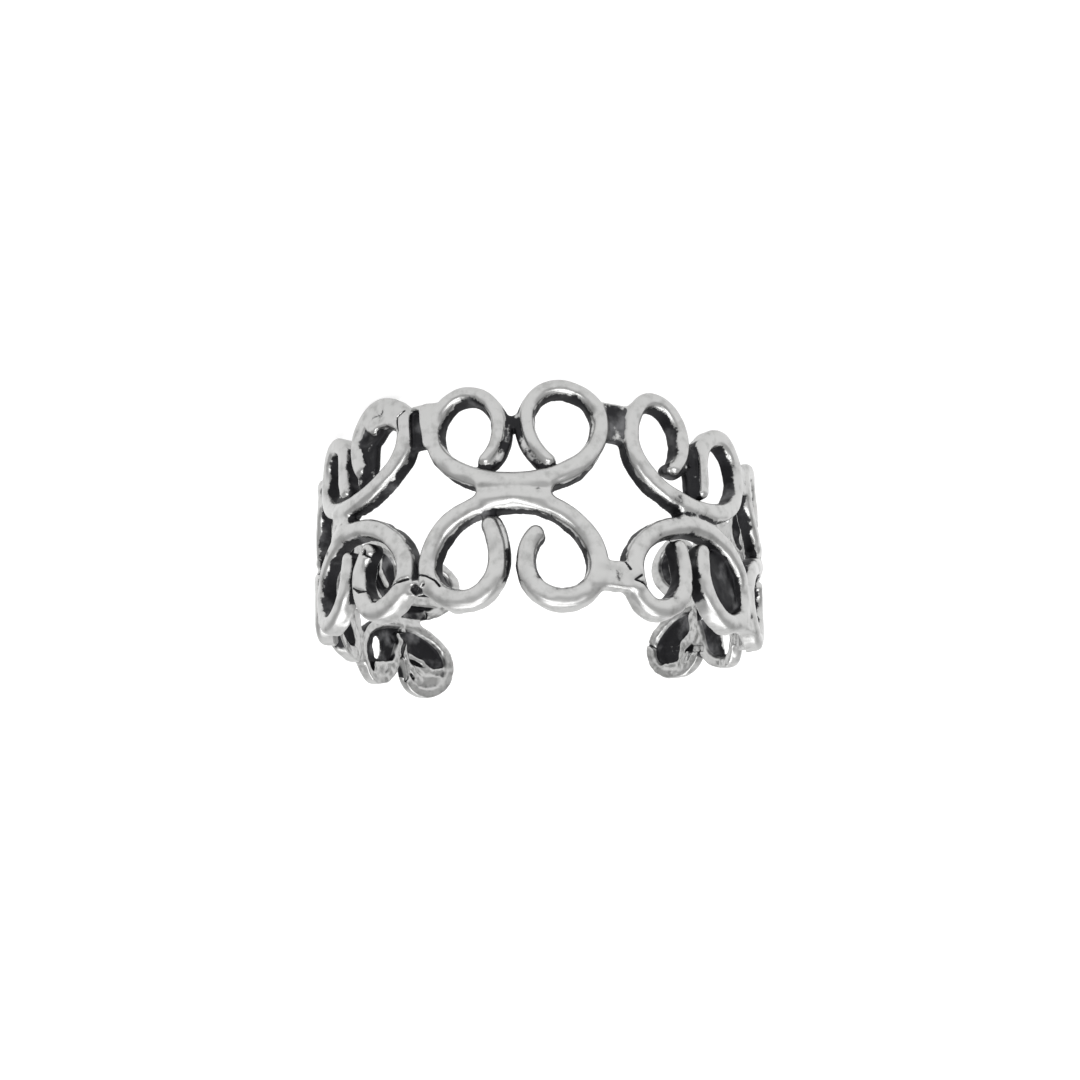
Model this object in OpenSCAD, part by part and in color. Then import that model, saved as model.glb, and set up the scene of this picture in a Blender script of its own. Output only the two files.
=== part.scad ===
// Open toe ring: one casting, a band of seven scroll units round a circle that is open at the back.
// The ring lies on its edge. +Z is up along the ring's axis, the opening faces +Y and the middle
// unit faces -Y. The origin is on the ring's axis, level with the lowest point of the lower edge.
// All lengths are in mm, apart from the scroll tables, which are in hundredths of ring_radius.

/* [Ring] */
// Outer radius of the band at half its height
ring_radius = 8.9; // [8:0.1:10]
// Angle that each scroll unit takes round the ring, degrees
unit_angle = 41.5; // [40:0.5:44]
// How much wider the ring gets for each mm downwards, from the tapered mandrel it was bent on
mandrel_taper = 0.03; // [0:0.01:0.05]
// Share of its height that the band has lost at its two ends
end_narrowing = 0.055; // [0:0.005:0.1]
// Height by which the bent band is out of line, each way
band_warp = 0.22; // [0:0.02:0.3]

/* [Wire] */
// Width of the wire's outer face
wire_width = 0.66; // [0.56:0.02:0.72]
// Thickness of the wire, from the toe side to the outer face
wire_thick = 0.6; // [0.5:0.05:0.8]
// Length of the rounding at the wire's tips
tip_round = 0.2; // [0.1:0.05:0.3]

/* [Joints] */
// Depth of the saddles below the outer face
saddle_inset = 0.06; // [0.02:0.02:0.14]
// Depth of the bridges below the outer face
bridge_inset = 0.1; // [0.05:0.05:0.2]
// Depth of the webs at the scroll tips below the outer face
web_inset = 0.2; // [0.15:0.05:0.3]
// Distance by which saddles, bridges and webs stay clear of the toe side
back_inset = 0.06; // [0.04:0.02:0.12]
// Thickness of the plates that close the end units' scrolls
plate_thick = 0.25; // [0.15:0.05:0.3]
// Depth of those plates below the outer face
plate_inset = 0.12; // [0.08:0.02:0.18]

/* [Hidden] */

silver = "#c9c7c2";
web_back = wire_thick - back_inset;
percent = ring_radius / 100;
outline_arc = ring_radius * unit_angle * PI / 180; // length of one unit along the outer face
half_count = 3.5; // units from the middle of the band to either end
swing_steps = 6; // steps of the wire from the saddle to a scroll's widest place
crown_steps = 4; // steps of each half of its crown
tip_steps = 2; // steps of its curled tip
tip_taper = 0.5; // share of the wire's section that is left at the end of a tip
post_width = 0.44; // width of the posts that a web is spanned between
plate_post = 1.0; // width of the posts that an end plate is spanned between
saddle_lap = 0.1; // height by which a saddle laps onto its scrolls

// One row for each scroll. A scroll leaves the saddle at height "start", swings out to "reach" at
// height "side", rounds its crown, comes back down to "inner" and curls away to its tip.
//   unit: place round the ring, counted from the middle towards +X
//   edge: 1 for the upper edge, -1 for the lower one
//   hand: 1 for the half of the unit towards +X, -1 for the other half
//   start, side, crown_h, inner_h, tip_h: heights above or below the band's middle line
//   reach, crown_s, inner_s, tip_s: distances round the ring from the middle of the unit
//   curl: angle through which the tip turns, degrees
//   wire: width of the wire in the scroll's loop, as a share of wire_width
//   lean: how far the crown stands out of the ring's circle, or inside it if negative
//   web: 1 where a web ties the tip to its own scroll
//   plate: share of the loop's width that a thin plate closes, measured from its inner side
scroll_columns = ["unit", "edge", "hand", "start", "reach", "side", "crown_s", "crown_h",
                  "inner_s", "inner_h", "tip_s", "tip_h", "curl", "wire", "lean", "web", "plate"];
scrolls = [
  [ 0, -1, -1,  3.8, 31.8, 28.5, 17.5, 40.8, 5.0, 28.0, 12.2, 12.2, 50, 0.80,  0, 1, 0.00],
  [ 0, -1,  1,  3.8, 30.5, 24.0, 17.5, 38.6, 5.2, 26.0, 10.0, 12.5, 50, 0.80,  0, 1, 0.00],
  [ 0,  1, -1,  2.5, 29.3, 24.5, 16.0, 37.0, 3.8, 25.0,  7.5, 15.0, 60, 1.00,  0, 0, 0.00],
  [ 0,  1,  1,  2.5, 32.0, 26.0, 18.0, 37.8, 6.0, 24.0,  8.5, 12.0, 40, 1.00,  0, 1, 0.00],
  [-1, -1,  1,  3.0, 29.0, 25.0, 18.5, 41.8, 6.2, 28.0, 11.0, 16.5, 50, 0.85,  0, 1, 0.00],
  [-1, -1, -1,  3.0, 31.0, 22.5, 19.0, 37.3, 3.0, 20.0,  3.1, 11.0, 15, 1.00,  0, 0, 0.00],
  [-1,  1,  1,  4.5, 30.0, 24.5, 21.0, 37.5, 8.5, 24.0, 10.5, 14.0, 30, 1.00,  0, 0, 0.00],
  [-1,  1, -1,  4.5, 30.0, 26.0, 16.0, 37.5, 0.8, 20.0,  1.1, 13.5, 20, 1.00,  0, 0, 0.00],
  [ 1, -1, -1,  6.5, 30.0, 28.0, 15.0, 41.8, 3.0, 30.0,  5.5, 20.0, 35, 1.15,  0, 1, 0.00],
  [ 1, -1,  1,  6.5, 30.0, 25.0, 20.0, 38.8, 8.5, 30.0,  5.5, 14.0, 40, 1.00,  0, 1, 0.00],
  [ 1,  1, -1,  4.5, 31.0, 25.0, 18.0, 38.0, 7.0, 25.0, 11.5, 15.0, 50, 1.10,  0, 0, 0.00],
  [ 1,  1,  1,  4.5, 30.0, 24.0, 17.0, 37.0, 2.0, 20.0,  1.5, 15.0, 20, 1.00,  0, 0, 0.00],
  [-2, -1,  1,  4.0, 30.0, 25.0, 17.0, 36.0, 5.0, 25.0, 10.0, 15.0, 50, 1.00,  0, 0, 0.00],
  [-2, -1, -1,  4.0, 30.0, 25.0, 17.0, 36.0, 5.0, 25.0, 10.0, 15.0, 50, 1.00,  0, 1, 0.00],
  [-2,  1,  1,  4.0, 38.0, 25.0, 24.0, 39.5, 5.0, 25.0,  9.0, 14.0, 50, 1.00, -1, 1, 0.00],
  [-2,  1, -1,  4.0, 30.0, 24.0, 17.0, 33.0, 5.0, 24.0,  9.0, 14.0, 50, 1.00, -3, 1, 0.00],
  [ 2, -1,  1,  4.0, 30.0, 25.0, 17.0, 36.0, 5.0, 25.0, 10.0, 15.0, 50, 1.00,  0, 1, 0.00],
  [ 2, -1, -1,  4.0, 30.0, 25.0, 17.0, 36.0, 5.0, 25.0, 10.0, 15.0, 50, 1.00,  0, 1, 0.00],
  [ 2,  1,  1,  4.0, 30.0, 23.0, 19.0, 31.0, 5.0, 23.0,  9.0, 14.0, 50, 1.00, -7, 1, 0.00],
  [ 2,  1, -1,  4.0, 30.0, 23.0, 17.0, 32.0, 5.0, 23.0,  9.0, 14.0, 50, 1.00, -3, 1, 0.00],
  [-3, -1,  1,  4.0, 30.0, 25.0, 17.0, 37.0, 5.0, 27.0, 10.0, 15.0, 50, 1.00,  0, 0, 1.00],
  [-3, -1, -1,  4.0, 26.5, 25.0, 14.5, 37.0, 5.0, 27.0, 10.0, 15.0, 50, 1.00,  0, 0, 1.00],
  [-3,  1,  1,  4.0, 32.0, 25.0, 19.0, 36.5, 4.0, 25.0,  5.0, 14.0, 50, 1.00,  3, 0, 0.40],
  [-3,  1, -1,  4.0, 33.0, 25.0, 18.5, 37.0, 3.0, 25.0,  7.0, 14.0, 50, 1.00,  0, 0, 1.00],
  [ 3, -1, -1,  4.0, 30.0, 25.0, 17.0, 37.0, 5.0, 27.0, 10.0, 15.0, 50, 1.00,  0, 0, 1.00],
  [ 3, -1,  1,  4.0, 34.5, 25.0, 19.5, 37.0, 5.0, 27.0, 10.0, 15.0, 50, 1.00,  0, 0, 1.00],
  [ 3,  1, -1,  4.0, 32.0, 24.0, 20.0, 35.5, 6.0, 23.0,  9.0, 14.0, 50, 1.00,  0, 0, 0.38],
  [ 3,  1,  1,  4.0, 31.0, 25.0, 16.5, 39.0, 3.0, 26.0,  6.0, 14.0, 50, 1.00,  0, 0, 1.00],
];

// One row for each bridge, which joins a unit to the next one towards +X
//   middle, height: place and size of the bridge up and down, in hundredths
bridge_columns = ["unit", "edge", "middle", "height"];
bridges = [
  [-3, -1, 26.0, 12.0],
  [-3,  1, 26.0, 11.0],
  [-2, -1, 26.0, 12.0],
  [-2,  1, 30.0, 18.0],
  [-1, -1, 30.0, 15.0],
  [-1,  1, 27.8,  9.5],
  [ 0, -1, 29.5, 17.0],
  [ 0,  1, 32.2,  5.6],
  [ 1, -1, 26.0, 12.0],
  [ 1,  1, 26.0, 11.0],
  [ 2, -1, 26.0, 12.0],
  [ 2,  1, 26.0, 11.0],
];

// One row for each saddle between a unit's upper and lower scrolls
//   from, to: its ends round the ring from the middle of the unit, in hundredths
saddle_columns = ["unit", "from", "to"];
saddles = [
  [-3, -12.0, 12.0],
  [-2, -12.0, 12.0],
  [-1, -10.5,  8.5],
  [ 0, -13.0, 13.0],
  [ 1,  -2.0, 14.5],
  [ 2, -12.0, 12.0],
  [ 3, -12.0, 12.0],
];

// One row for each place where more metal fills a hole or a corner, spanned between two flat points
//   width: width of the fill, in hundredths
//   inset: depth of the fill below the outer face, mm
fill_columns = ["unit", "edge", "hand", "from_s", "from_h", "to_s", "to_h", "width", "inset"];
fills = [
  [ 1, -1, -1,  8.4, 16.5,  8.8, 26.0,  8.6, 0.25],
  [ 1, -1, -1, 12.0, 35.6, 24.0, 34.6,  5.2, 0.06],
  [-1, -1,  1, 10.0, 14.2, 20.0, 15.0,  3.4, 0.25],
  [-1, -1,  1,  7.0, 12.0,  3.0,  8.0,  4.4, 0.25],
  [ 3, -1,  1,  2.0,  9.0, 12.0, 10.5,  8.0, 0.10],
  [-3,  1,  1,  0.0,  6.0,  0.0, 28.0, 10.0, 0.30],
  [ 2,  1,  1, 34.0,  7.0, 36.0, 18.0,  7.0, 0.30],
  [-1,  1, -1, 14.0, 20.0, 15.5, 29.0, 21.0, 0.35],
];

// Units and edges where the two scrolls of a unit are tied together side by side
tied_pairs = [[0, -1], [-1, -1], [2, 1], [-2, 1], [3, 1], [-3, 1], [3, -1], [-3, -1]];

// Wire section: place across the width and place through the thickness, both as shares
wire_section = [
  [-0.42, 0.00], [0.42, 0.00], [0.50, 0.62], [0.26, 1.00], [-0.26, 1.00], [-0.50, 0.62]
];

function cell(row, name, columns = scroll_columns) = row[search([name], columns)[0]];

function scroll_at(unit, edge, hand) = [
  for (row = scrolls)
    if (cell(row, "unit") == unit && cell(row, "edge") == edge && cell(row, "hand") == hand) row
][0];

// Points of an ellipse's quarter, without the last one, which opens the next quarter
function quarter(centre, across, up, from, to, steps) = [
  for (i = [0 : steps - 1]) let (g = from + (to - from) * i / steps) centre + [across * cos(g), up * sin(g)]
];

// Centre line of a scroll laid flat, in hundredths, from the saddle's middle to the tip
function centre_line(row) =
  let (
    start = cell(row, "start"), reach = cell(row, "reach"), side = cell(row, "side"),
    crown = [cell(row, "crown_s"), cell(row, "crown_h")],
    inner = [cell(row, "inner_s"), cell(row, "inner_h")],
    tip = [cell(row, "tip_s"), cell(row, "tip_h")],
    curl = cell(row, "curl"),
    tip_across = (tip.x - inner.x) / (1 - cos(curl)),
    tip_down = (inner.y - tip.y) / sin(curl)
  )
  concat(
    quarter([0, side], reach, side - start, -90, 0, swing_steps),
    quarter([crown.x, side], reach - crown.x, crown.y - side, 0, 90, crown_steps),
    quarter([crown.x, inner.y], crown.x - inner.x, crown.y - inner.y, 90, 180, crown_steps),
    quarter([inner.x + tip_across, inner.y], tip_across, tip_down, 180, 180 + curl, tip_steps),
    [tip]
  );

// Height of a scroll's first, outward-swinging stretch at the distance s
function swing_height(row, s) =
  let (start = cell(row, "start"), side = cell(row, "side"), share = min(s / cell(row, "reach"), 1))
  start + (side - start) * (1 - sqrt(1 - share * share));

// Distance of a scroll's outermost stretch from the unit's middle at the height h
function outer_s(row, h) =
  let (
    start = cell(row, "start"), reach = cell(row, "reach"), side = cell(row, "side"),
    crown_s = cell(row, "crown_s"), crown_h = cell(row, "crown_h"),
    inward = h > side ? crown_s : 0,
    share = min(abs(h - side) / (h > side ? crown_h - side : side - start), 1)
  )
  inward + (reach - inward) * sqrt(1 - share * share);

function lean_at(row, h) = cell(row, "lean") * pow(max(h, 0) / cell(row, "crown_h"), 2);

// Where a flat point of a unit lies on the bent ring. depth is measured in from the outer face.
function on_ring(unit, edge, s, h, lean, depth) =
  let (
    turns = unit + s * percent / outline_arc,
    angle = turns * unit_angle,
    rise = edge * h * percent * (1 - end_narrowing * pow(turns / half_count, 2)),
    r = ring_radius - mandrel_taper * rise + lean * percent - depth
  )
  [r * sin(angle), -r * cos(angle), rise - band_warp * sin(2 * angle)];

// One scroll as a list of [s, h, lean, width], from the saddle to the tip
function scroll_line(row) =
  let (line = centre_line(row))
  [for (i = [0 : len(line) - 1]) let (loop = min(max(2 * i / swing_steps - 1, 0), 1))
    [cell(row, "hand") * line[i].x, line[i].y, lean_at(row, line[i].y),
     wire_width * (1 + (cell(row, "wire") - 1) * loop)]];

// The two scrolls of a unit's edge as one line, from tip to tip
function arch_line(unit, edge) =
  let (left = scroll_line(scroll_at(unit, edge, -1)), right = scroll_line(scroll_at(unit, edge, 1)))
  concat([for (i = [len(left) - 1 : -1 : 1]) left[i]], right);

// Rings of section points along an arch. The first and the last ring round off the tips.
function wire_rings(unit, edge) =
  let (line = arch_line(unit, edge), last = len(line) - 1)
  [
    for (i = [-1 : last + 1])
      let (
        here = min(max(i, 0), last),
        step = line[min(here + 1, last)] - line[max(here - 1, 0)],
        along = [step.x, step.y] / norm([step.x, step.y]),
        size = i == here ? 1 : tip_taper,
        at = [line[here].x, line[here].y] + along * (i - here) * tip_round / percent
      )
      [for (p = wire_section)
        let (side = p.x * size * line[here][3] / percent, depth = 0.5 - (p.y - 0.5) * size)
        on_ring(unit, edge, at.x - side * along.y, at.y + side * along.x, line[here].z, depth * wire_thick)]
  ];

all_points = [for (unit = [-3 : 3], edge = [-1, 1]) for (ring = wire_rings(unit, edge)) for (p = ring) p];
lowest = min([for (p = all_points) p.z]);

module arch(unit, edge) {
  rings = wire_rings(unit, edge);
  sides = len(wire_section);
  last = len(rings) - 1;
  skin = concat(
    [[for (j = [0 : sides - 1]) j]],
    [for (i = [0 : last - 1], j = [0 : sides - 1]) let (k = (j + 1) % sides)
      [i * sides + j, (i + 1) * sides + j, (i + 1) * sides + k, i * sides + k]],
    [[for (j = [sides - 1 : -1 : 0]) last * sides + j]]
  );
  turned = edge > 0 ? skin : [for (f = skin) [for (j = [len(f) - 1 : -1 : 0]) f[j]]];
  polyhedron(points = [for (ring = rings) for (p = ring) p], faces = turned, convexity = 8);
}

// A short radial post at a flat point of a scroll. Two or more of them span a web.
module post(row, s, h, width, from, to) {
  outer = on_ring(cell(row, "unit"), cell(row, "edge"), cell(row, "hand") * s, h, lean_at(row, h), from);
  angle = atan2(outer.x, -outer.y);
  r_out = norm([outer.x, outer.y]);
  rotate([0, 0, angle]) translate([0, to - from - r_out, outer.z]) rotate([90, 0, 0])
    cylinder(h = to - from, d = width, $fn = 6);
}

module saddle(row) {
  above = scroll_at(row[0], 1, 1);
  below = scroll_at(row[0], -1, 1);
  middle = (cell(above, "start") - cell(below, "start")) / 2;
  height = (cell(above, "start") + cell(below, "start")) * percent + saddle_lap;
  trim = height / 2 / percent;
  from = cell(row, "from", saddle_columns) + trim;
  to = cell(row, "to", saddle_columns) - trim;
  hull() for (s = [from, to]) post(above, s, middle, height, saddle_inset, web_back);
}

module bridge(row) {
  near = scroll_at(row[0], row[1], 1);
  far = scroll_at(row[0] + 1, row[1], -1);
  middle = cell(row, "middle", bridge_columns);
  spread = (cell(row, "height", bridge_columns) - post_width / percent) / 2;
  hull() for (scroll = [near, far], h = [middle - spread, middle + spread])
    post(scroll, outer_s(scroll, h), h, post_width, bridge_inset, web_back);
}

module tip_web(row) {
  tip_s = cell(row, "tip_s");
  hull() {
    post(row, tip_s, cell(row, "tip_h"), post_width, web_inset, web_back);
    post(row, tip_s, swing_height(row, tip_s), post_width, web_inset, web_back);
  }
}

module pair_tie(unit, edge) hull() {
  for (hand = [-1, 1]) let (row = scroll_at(unit, edge, hand))
    post(row, cell(row, "inner_s"), cell(row, "inner_h"), post_width, web_inset, web_back);
}

module fill(row) {
  scroll = scroll_at(row[0], row[1], row[2]);
  from = [cell(row, "from_s", fill_columns), cell(row, "from_h", fill_columns)];
  to = [cell(row, "to_s", fill_columns), cell(row, "to_h", fill_columns)];
  width = cell(row, "width", fill_columns) * percent;
  hull() for (p = [from, to]) post(scroll, p.x, p.y, width, cell(row, "inset", fill_columns), web_back);
}

// Closes an end scroll with a thin plate, which leaves a hollow on the toe side
module scroll_plate(row) {
  inner_s = cell(row, "inner_s");
  lap = plate_post / 2 / percent;
  far = inner_s + (cell(row, "reach") - inner_s) * cell(row, "plate") - lap;
  middle = min(cell(row, "crown_s"), far);
  places = [
    [middle, cell(row, "crown_h") - lap],
    [far, cell(row, "side")],
    [inner_s + lap, cell(row, "inner_h")],
    [middle, swing_height(row, middle) + lap],
  ];
  hull() for (p = places) post(row, p.x, p.y, plate_post, plate_inset, plate_inset + plate_thick);
}

module scroll_band() {
  color(silver) translate([0, 0, -lowest]) union() {
    for (unit = [-3 : 3], edge = [-1, 1]) arch(unit, edge);
    for (row = saddles) saddle(row);
    for (row = bridges) bridge(row);
    for (row = scrolls) if (cell(row, "web") == 1) tip_web(row);
    for (pair = tied_pairs) pair_tie(pair[0], pair[1]);
    for (row = fills) fill(row);
    for (row = scrolls) if (cell(row, "plate") > 0) scroll_plate(row);
  }
}

scroll_band();
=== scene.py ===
import math

import bpy
import numpy as np
from mathutils import Matrix, Vector


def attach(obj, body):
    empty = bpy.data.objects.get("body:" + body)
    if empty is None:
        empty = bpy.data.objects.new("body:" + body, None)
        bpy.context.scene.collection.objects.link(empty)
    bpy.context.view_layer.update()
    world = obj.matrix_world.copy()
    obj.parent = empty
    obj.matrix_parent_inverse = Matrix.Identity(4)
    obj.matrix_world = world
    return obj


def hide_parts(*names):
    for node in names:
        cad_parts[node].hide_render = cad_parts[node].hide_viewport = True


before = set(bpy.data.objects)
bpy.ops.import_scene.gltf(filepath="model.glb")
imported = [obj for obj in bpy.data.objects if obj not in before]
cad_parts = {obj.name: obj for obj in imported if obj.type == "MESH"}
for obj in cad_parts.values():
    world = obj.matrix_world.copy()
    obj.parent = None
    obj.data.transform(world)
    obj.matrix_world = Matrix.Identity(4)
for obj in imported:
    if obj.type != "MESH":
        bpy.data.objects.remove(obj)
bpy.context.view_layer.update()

# ---- Sizes, as in part.scad -------------------------------------------------------------------
# Lengths of the flat band are in hundredths of the ring's outer radius.
RING_RADIUS = 0.0089  # metres
PERCENT = RING_RADIUS / 100
MM = 0.001 / PERCENT  # hundredths in a millimetre
UNIT_ANGLE = math.radians(41.5)
UNIT_PITCH = UNIT_ANGLE * 100
UNIT_SPAN = 3.5
MANDREL_TAPER = 0.03
END_NARROWING = 0.055
BAND_WARP = 0.22 * MM
WIRE_WIDTH = 0.66 * MM
WIRE_THICK = 0.60 * MM
MID_HEIGHT = 0.00428868  # the band's middle line above the floor, metres

# One row for each scroll. unit counts round the ring from the middle one, edge is 1 above and -1
# below, hand is 1 to the right of the unit's middle and -1 to the left. s runs from the unit's
# middle towards the hand, h from the band's middle line towards the edge. The wire sets out at the
# height start, swings out to reach at the height side, goes over its crown, comes in to inner_s and
# curls to its tip through the angle curl. wire is its width as a share, lean how far the scroll
# leans out, web whether its tip is joined to the wire under it, plate how much of it is closed.
SCROLLS = [
    # unit edge hand start reach side crown_s crown_h inner_s inner_h tip_s tip_h curl wire lean web plate
    (0, -1, -1, 3.8, 31.8, 28.5, 17.5, 40.8, 5.0, 28.0, 12.2, 12.2, 50, 0.80, 0, 1, 0.00),
    (0, -1, 1, 3.8, 30.5, 24.0, 17.5, 38.6, 5.2, 26.0, 10.0, 12.5, 50, 0.80, 0, 1, 0.00),
    (0, 1, -1, 2.5, 29.3, 24.5, 16.0, 37.0, 3.8, 25.0, 7.5, 15.0, 60, 1.00, 0, 0, 0.00),
    (0, 1, 1, 2.5, 32.0, 26.0, 18.0, 37.8, 6.0, 24.0, 8.5, 12.0, 40, 1.00, 0, 1, 0.00),
    (-1, -1, 1, 3.0, 29.0, 25.0, 18.5, 41.8, 6.2, 28.0, 11.0, 16.5, 50, 0.85, 0, 0, 0.00),
    (-1, -1, -1, 3.0, 31.0, 22.5, 19.0, 37.3, 3.0, 20.0, 3.1, 11.0, 15, 1.00, 0, 0, 0.00),
    (-1, 1, 1, 4.5, 30.0, 24.5, 21.0, 37.5, 8.5, 24.0, 10.5, 14.0, 30, 1.00, 0, 0, 0.00),
    (-1, 1, -1, 4.5, 30.0, 26.0, 16.0, 37.5, 0.8, 20.0, 1.1, 13.5, 20, 1.00, 0, 0, 0.00),
    (1, -1, -1, 6.5, 30.0, 28.0, 15.0, 41.8, 3.0, 30.0, 5.5, 20.0, 35, 1.15, 0, 1, 0.00),
    (1, -1, 1, 6.5, 30.0, 25.0, 20.0, 38.8, 8.5, 30.0, 5.5, 14.0, 40, 1.00, 0, 1, 0.00),
    (1, 1, -1, 4.5, 31.0, 25.0, 18.0, 38.0, 7.0, 25.0, 11.5, 15.0, 50, 1.10, 0, 0, 0.00),
    (1, 1, 1, 4.5, 30.0, 24.0, 17.0, 37.0, 2.0, 20.0, 1.5, 15.0, 20, 1.00, 0, 0, 0.00),
    (-2, -1, 1, 4.0, 30.0, 25.0, 17.0, 36.0, 5.0, 25.0, 10.0, 15.0, 50, 1.00, 0, 1, 0.00),
    (-2, -1, -1, 4.0, 30.0, 25.0, 17.0, 36.0, 5.0, 25.0, 10.0, 15.0, 50, 1.00, 0, 1, 0.00),
    (-2, 1, 1, 4.0, 38.0, 25.0, 24.0, 39.5, 5.0, 25.0, 9.0, 14.0, 50, 1.00, -1, 1, 0.00),
    (-2, 1, -1, 4.0, 30.0, 24.0, 17.0, 33.0, 5.0, 24.0, 9.0, 14.0, 50, 1.00, -3, 1, 0.00),
    (2, -1, 1, 4.0, 30.0, 25.0, 17.0, 36.0, 5.0, 25.0, 10.0, 15.0, 50, 1.00, 0, 1, 0.00),
    (2, -1, -1, 4.0, 30.0, 25.0, 17.0, 36.0, 5.0, 25.0, 10.0, 15.0, 50, 1.00, 0, 1, 0.00),
    (2, 1, 1, 4.0, 30.0, 23.0, 19.0, 31.0, 5.0, 23.0, 9.0, 14.0, 50, 1.00, -7, 1, 0.00),
    (2, 1, -1, 4.0, 30.0, 23.0, 17.0, 32.0, 5.0, 23.0, 9.0, 14.0, 50, 1.00, -3, 1, 0.00),
    (-3, -1, 1, 4.0, 30.0, 25.0, 17.0, 37.0, 5.0, 27.0, 10.0, 15.0, 50, 1.00, 0, 0, 1.00),
    (-3, -1, -1, 4.0, 26.5, 25.0, 14.5, 37.0, 5.0, 27.0, 10.0, 15.0, 50, 1.00, 0, 0, 1.00),
    (-3, 1, 1, 4.0, 32.0, 25.0, 19.0, 36.5, 4.0, 25.0, 5.0, 14.0, 50, 1.00, 3, 0, 0.40),
    (-3, 1, -1, 4.0, 33.0, 25.0, 18.5, 37.0, 3.0, 25.0, 7.0, 14.0, 50, 1.00, 0, 0, 1.00),
    (3, -1, -1, 4.0, 30.0, 25.0, 17.0, 37.0, 5.0, 27.0, 10.0, 15.0, 50, 1.00, 0, 0, 1.00),
    (3, -1, 1, 4.0, 34.5, 25.0, 19.5, 37.0, 5.0, 27.0, 10.0, 15.0, 50, 1.00, 0, 0, 1.00),
    (3, 1, -1, 4.0, 32.0, 24.0, 20.0, 35.5, 6.0, 23.0, 9.0, 14.0, 50, 1.00, 0, 0, 1.00),
    (3, 1, 1, 4.0, 31.0, 25.0, 16.5, 39.0, 3.0, 26.0, 6.0, 14.0, 50, 1.00, 0, 0, 1.00),
]
COLUMNS = ("unit edge hand start reach side crown_s crown_h inner_s inner_h "
           "tip_s tip_h curl wire lean web plate").split()
SCROLLS = [dict(zip(COLUMNS, row)) for row in SCROLLS]

BRIDGES = [
    # unit edge middle height front back, the last two in mm
    (-3, -1, 26.0, 12.0, 0.10, 0.54),
    (-3, 1, 26.0, 11.0, 0.10, 0.54),
    (-2, -1, 26.0, 12.0, 0.10, 0.54),
    (-2, 1, 30.0, 18.0, 0.02, 0.54),
    (-1, -1, 30.0, 15.0, 0.22, 0.54),
    (-1, 1, 27.8, 9.5, 0.02, 0.54),
    (0, -1, 29.5, 17.0, 0.20, 0.54),
    (0, 1, 32.2, 5.6, 0.10, 0.36),
    (1, -1, 26.0, 12.0, 0.10, 0.54),
    (1, 1, 26.0, 11.0, 0.10, 0.54),
    (2, -1, 26.0, 12.0, 0.10, 0.54),
    (2, 1, 26.0, 11.0, 0.10, 0.54),
]
SADDLES = [
    # unit from to depth, the last in mm
    (-3, -12.0, 12.0, 0.06),
    (-2, -12.0, 12.0, 0.06),
    (-1, -10.5, 8.5, 0.14),
    (0, -13.0, 13.0, 0.03),
    (1, 1.2, 14.5, 0.04),
    (2, -12.0, 12.0, 0.06),
    (3, -12.0, 12.0, 0.06),
]
# More metal in holes and corners, spanned between two flat points; the depths are in mm
FILLS = [
    # unit edge hand from_s from_h to_s to_h width front back
    (1, -1, -1, 8.4, 16.5, 8.8, 26.0, 8.6, 0.27, 0.54),
    (1, -1, -1, 9.0, 30.0, 15.0, 34.0, 8.0, 0.25, 0.54),
    (1, -1, -1, 12.0, 35.6, 24.0, 35.2, 5.2, 0.03, 0.54),
    (1, -1, -1, 13.3, 33.0, 14.4, 32.8, 2.6, 0.04, 0.40),
    (1, -1, -1, 23.5, 33.4, 27.0, 31.4, 3.4, 0.04, 0.54),
    (1, -1, 1, 7.0, 11.0, 14.0, 13.5, 7.0, 0.30, 0.54),
    (-1, -1, 1, 5.0, 18.8, 13.6, 15.8, 3.4, 0.25, 0.54),
    (-1, -1, 1, 1.6, 17.0, 1.0, 6.0, 4.6, 0.25, 0.54),
    (1, 1, -1, 0.6, 1.2, -0.4, 1.2, 4.6, 0.26, 0.54),
    (3, -1, 1, 2.0, 9.0, 12.0, 10.5, 8.0, 0.10, 0.56),
    (2, 1, 1, 34.0, 7.0, 36.0, 18.0, 7.0, 0.30, 0.48),
    (-1, 1, -1, 14.0, 20.0, 15.5, 29.0, 21.0, 0.34, 0.54),
    (0, -1, 1, 31.0, 22.0, 32.6, 33.0, 6.8, 0.02, 0.54),
    (0, -1, 1, 31.0, 35.4, 38.0, 35.4, 3.0, 0.05, 0.54),
    (3, 1, -1, 9.0, 9.5, 18.0, 12.0, 5.6, 0.14, 0.40),
    (3, 1, -1, 5.5, 11.0, 7.5, 19.0, 6.0, 0.14, 0.36),
    (3, 1, 1, 1.0, 9.0, 11.0, 9.0, 6.0, 0.14, 0.40),
    (-3, 1, -1, 1.0, 9.0, 10.0, 9.0, 6.0, 0.14, 0.40),
]
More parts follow.
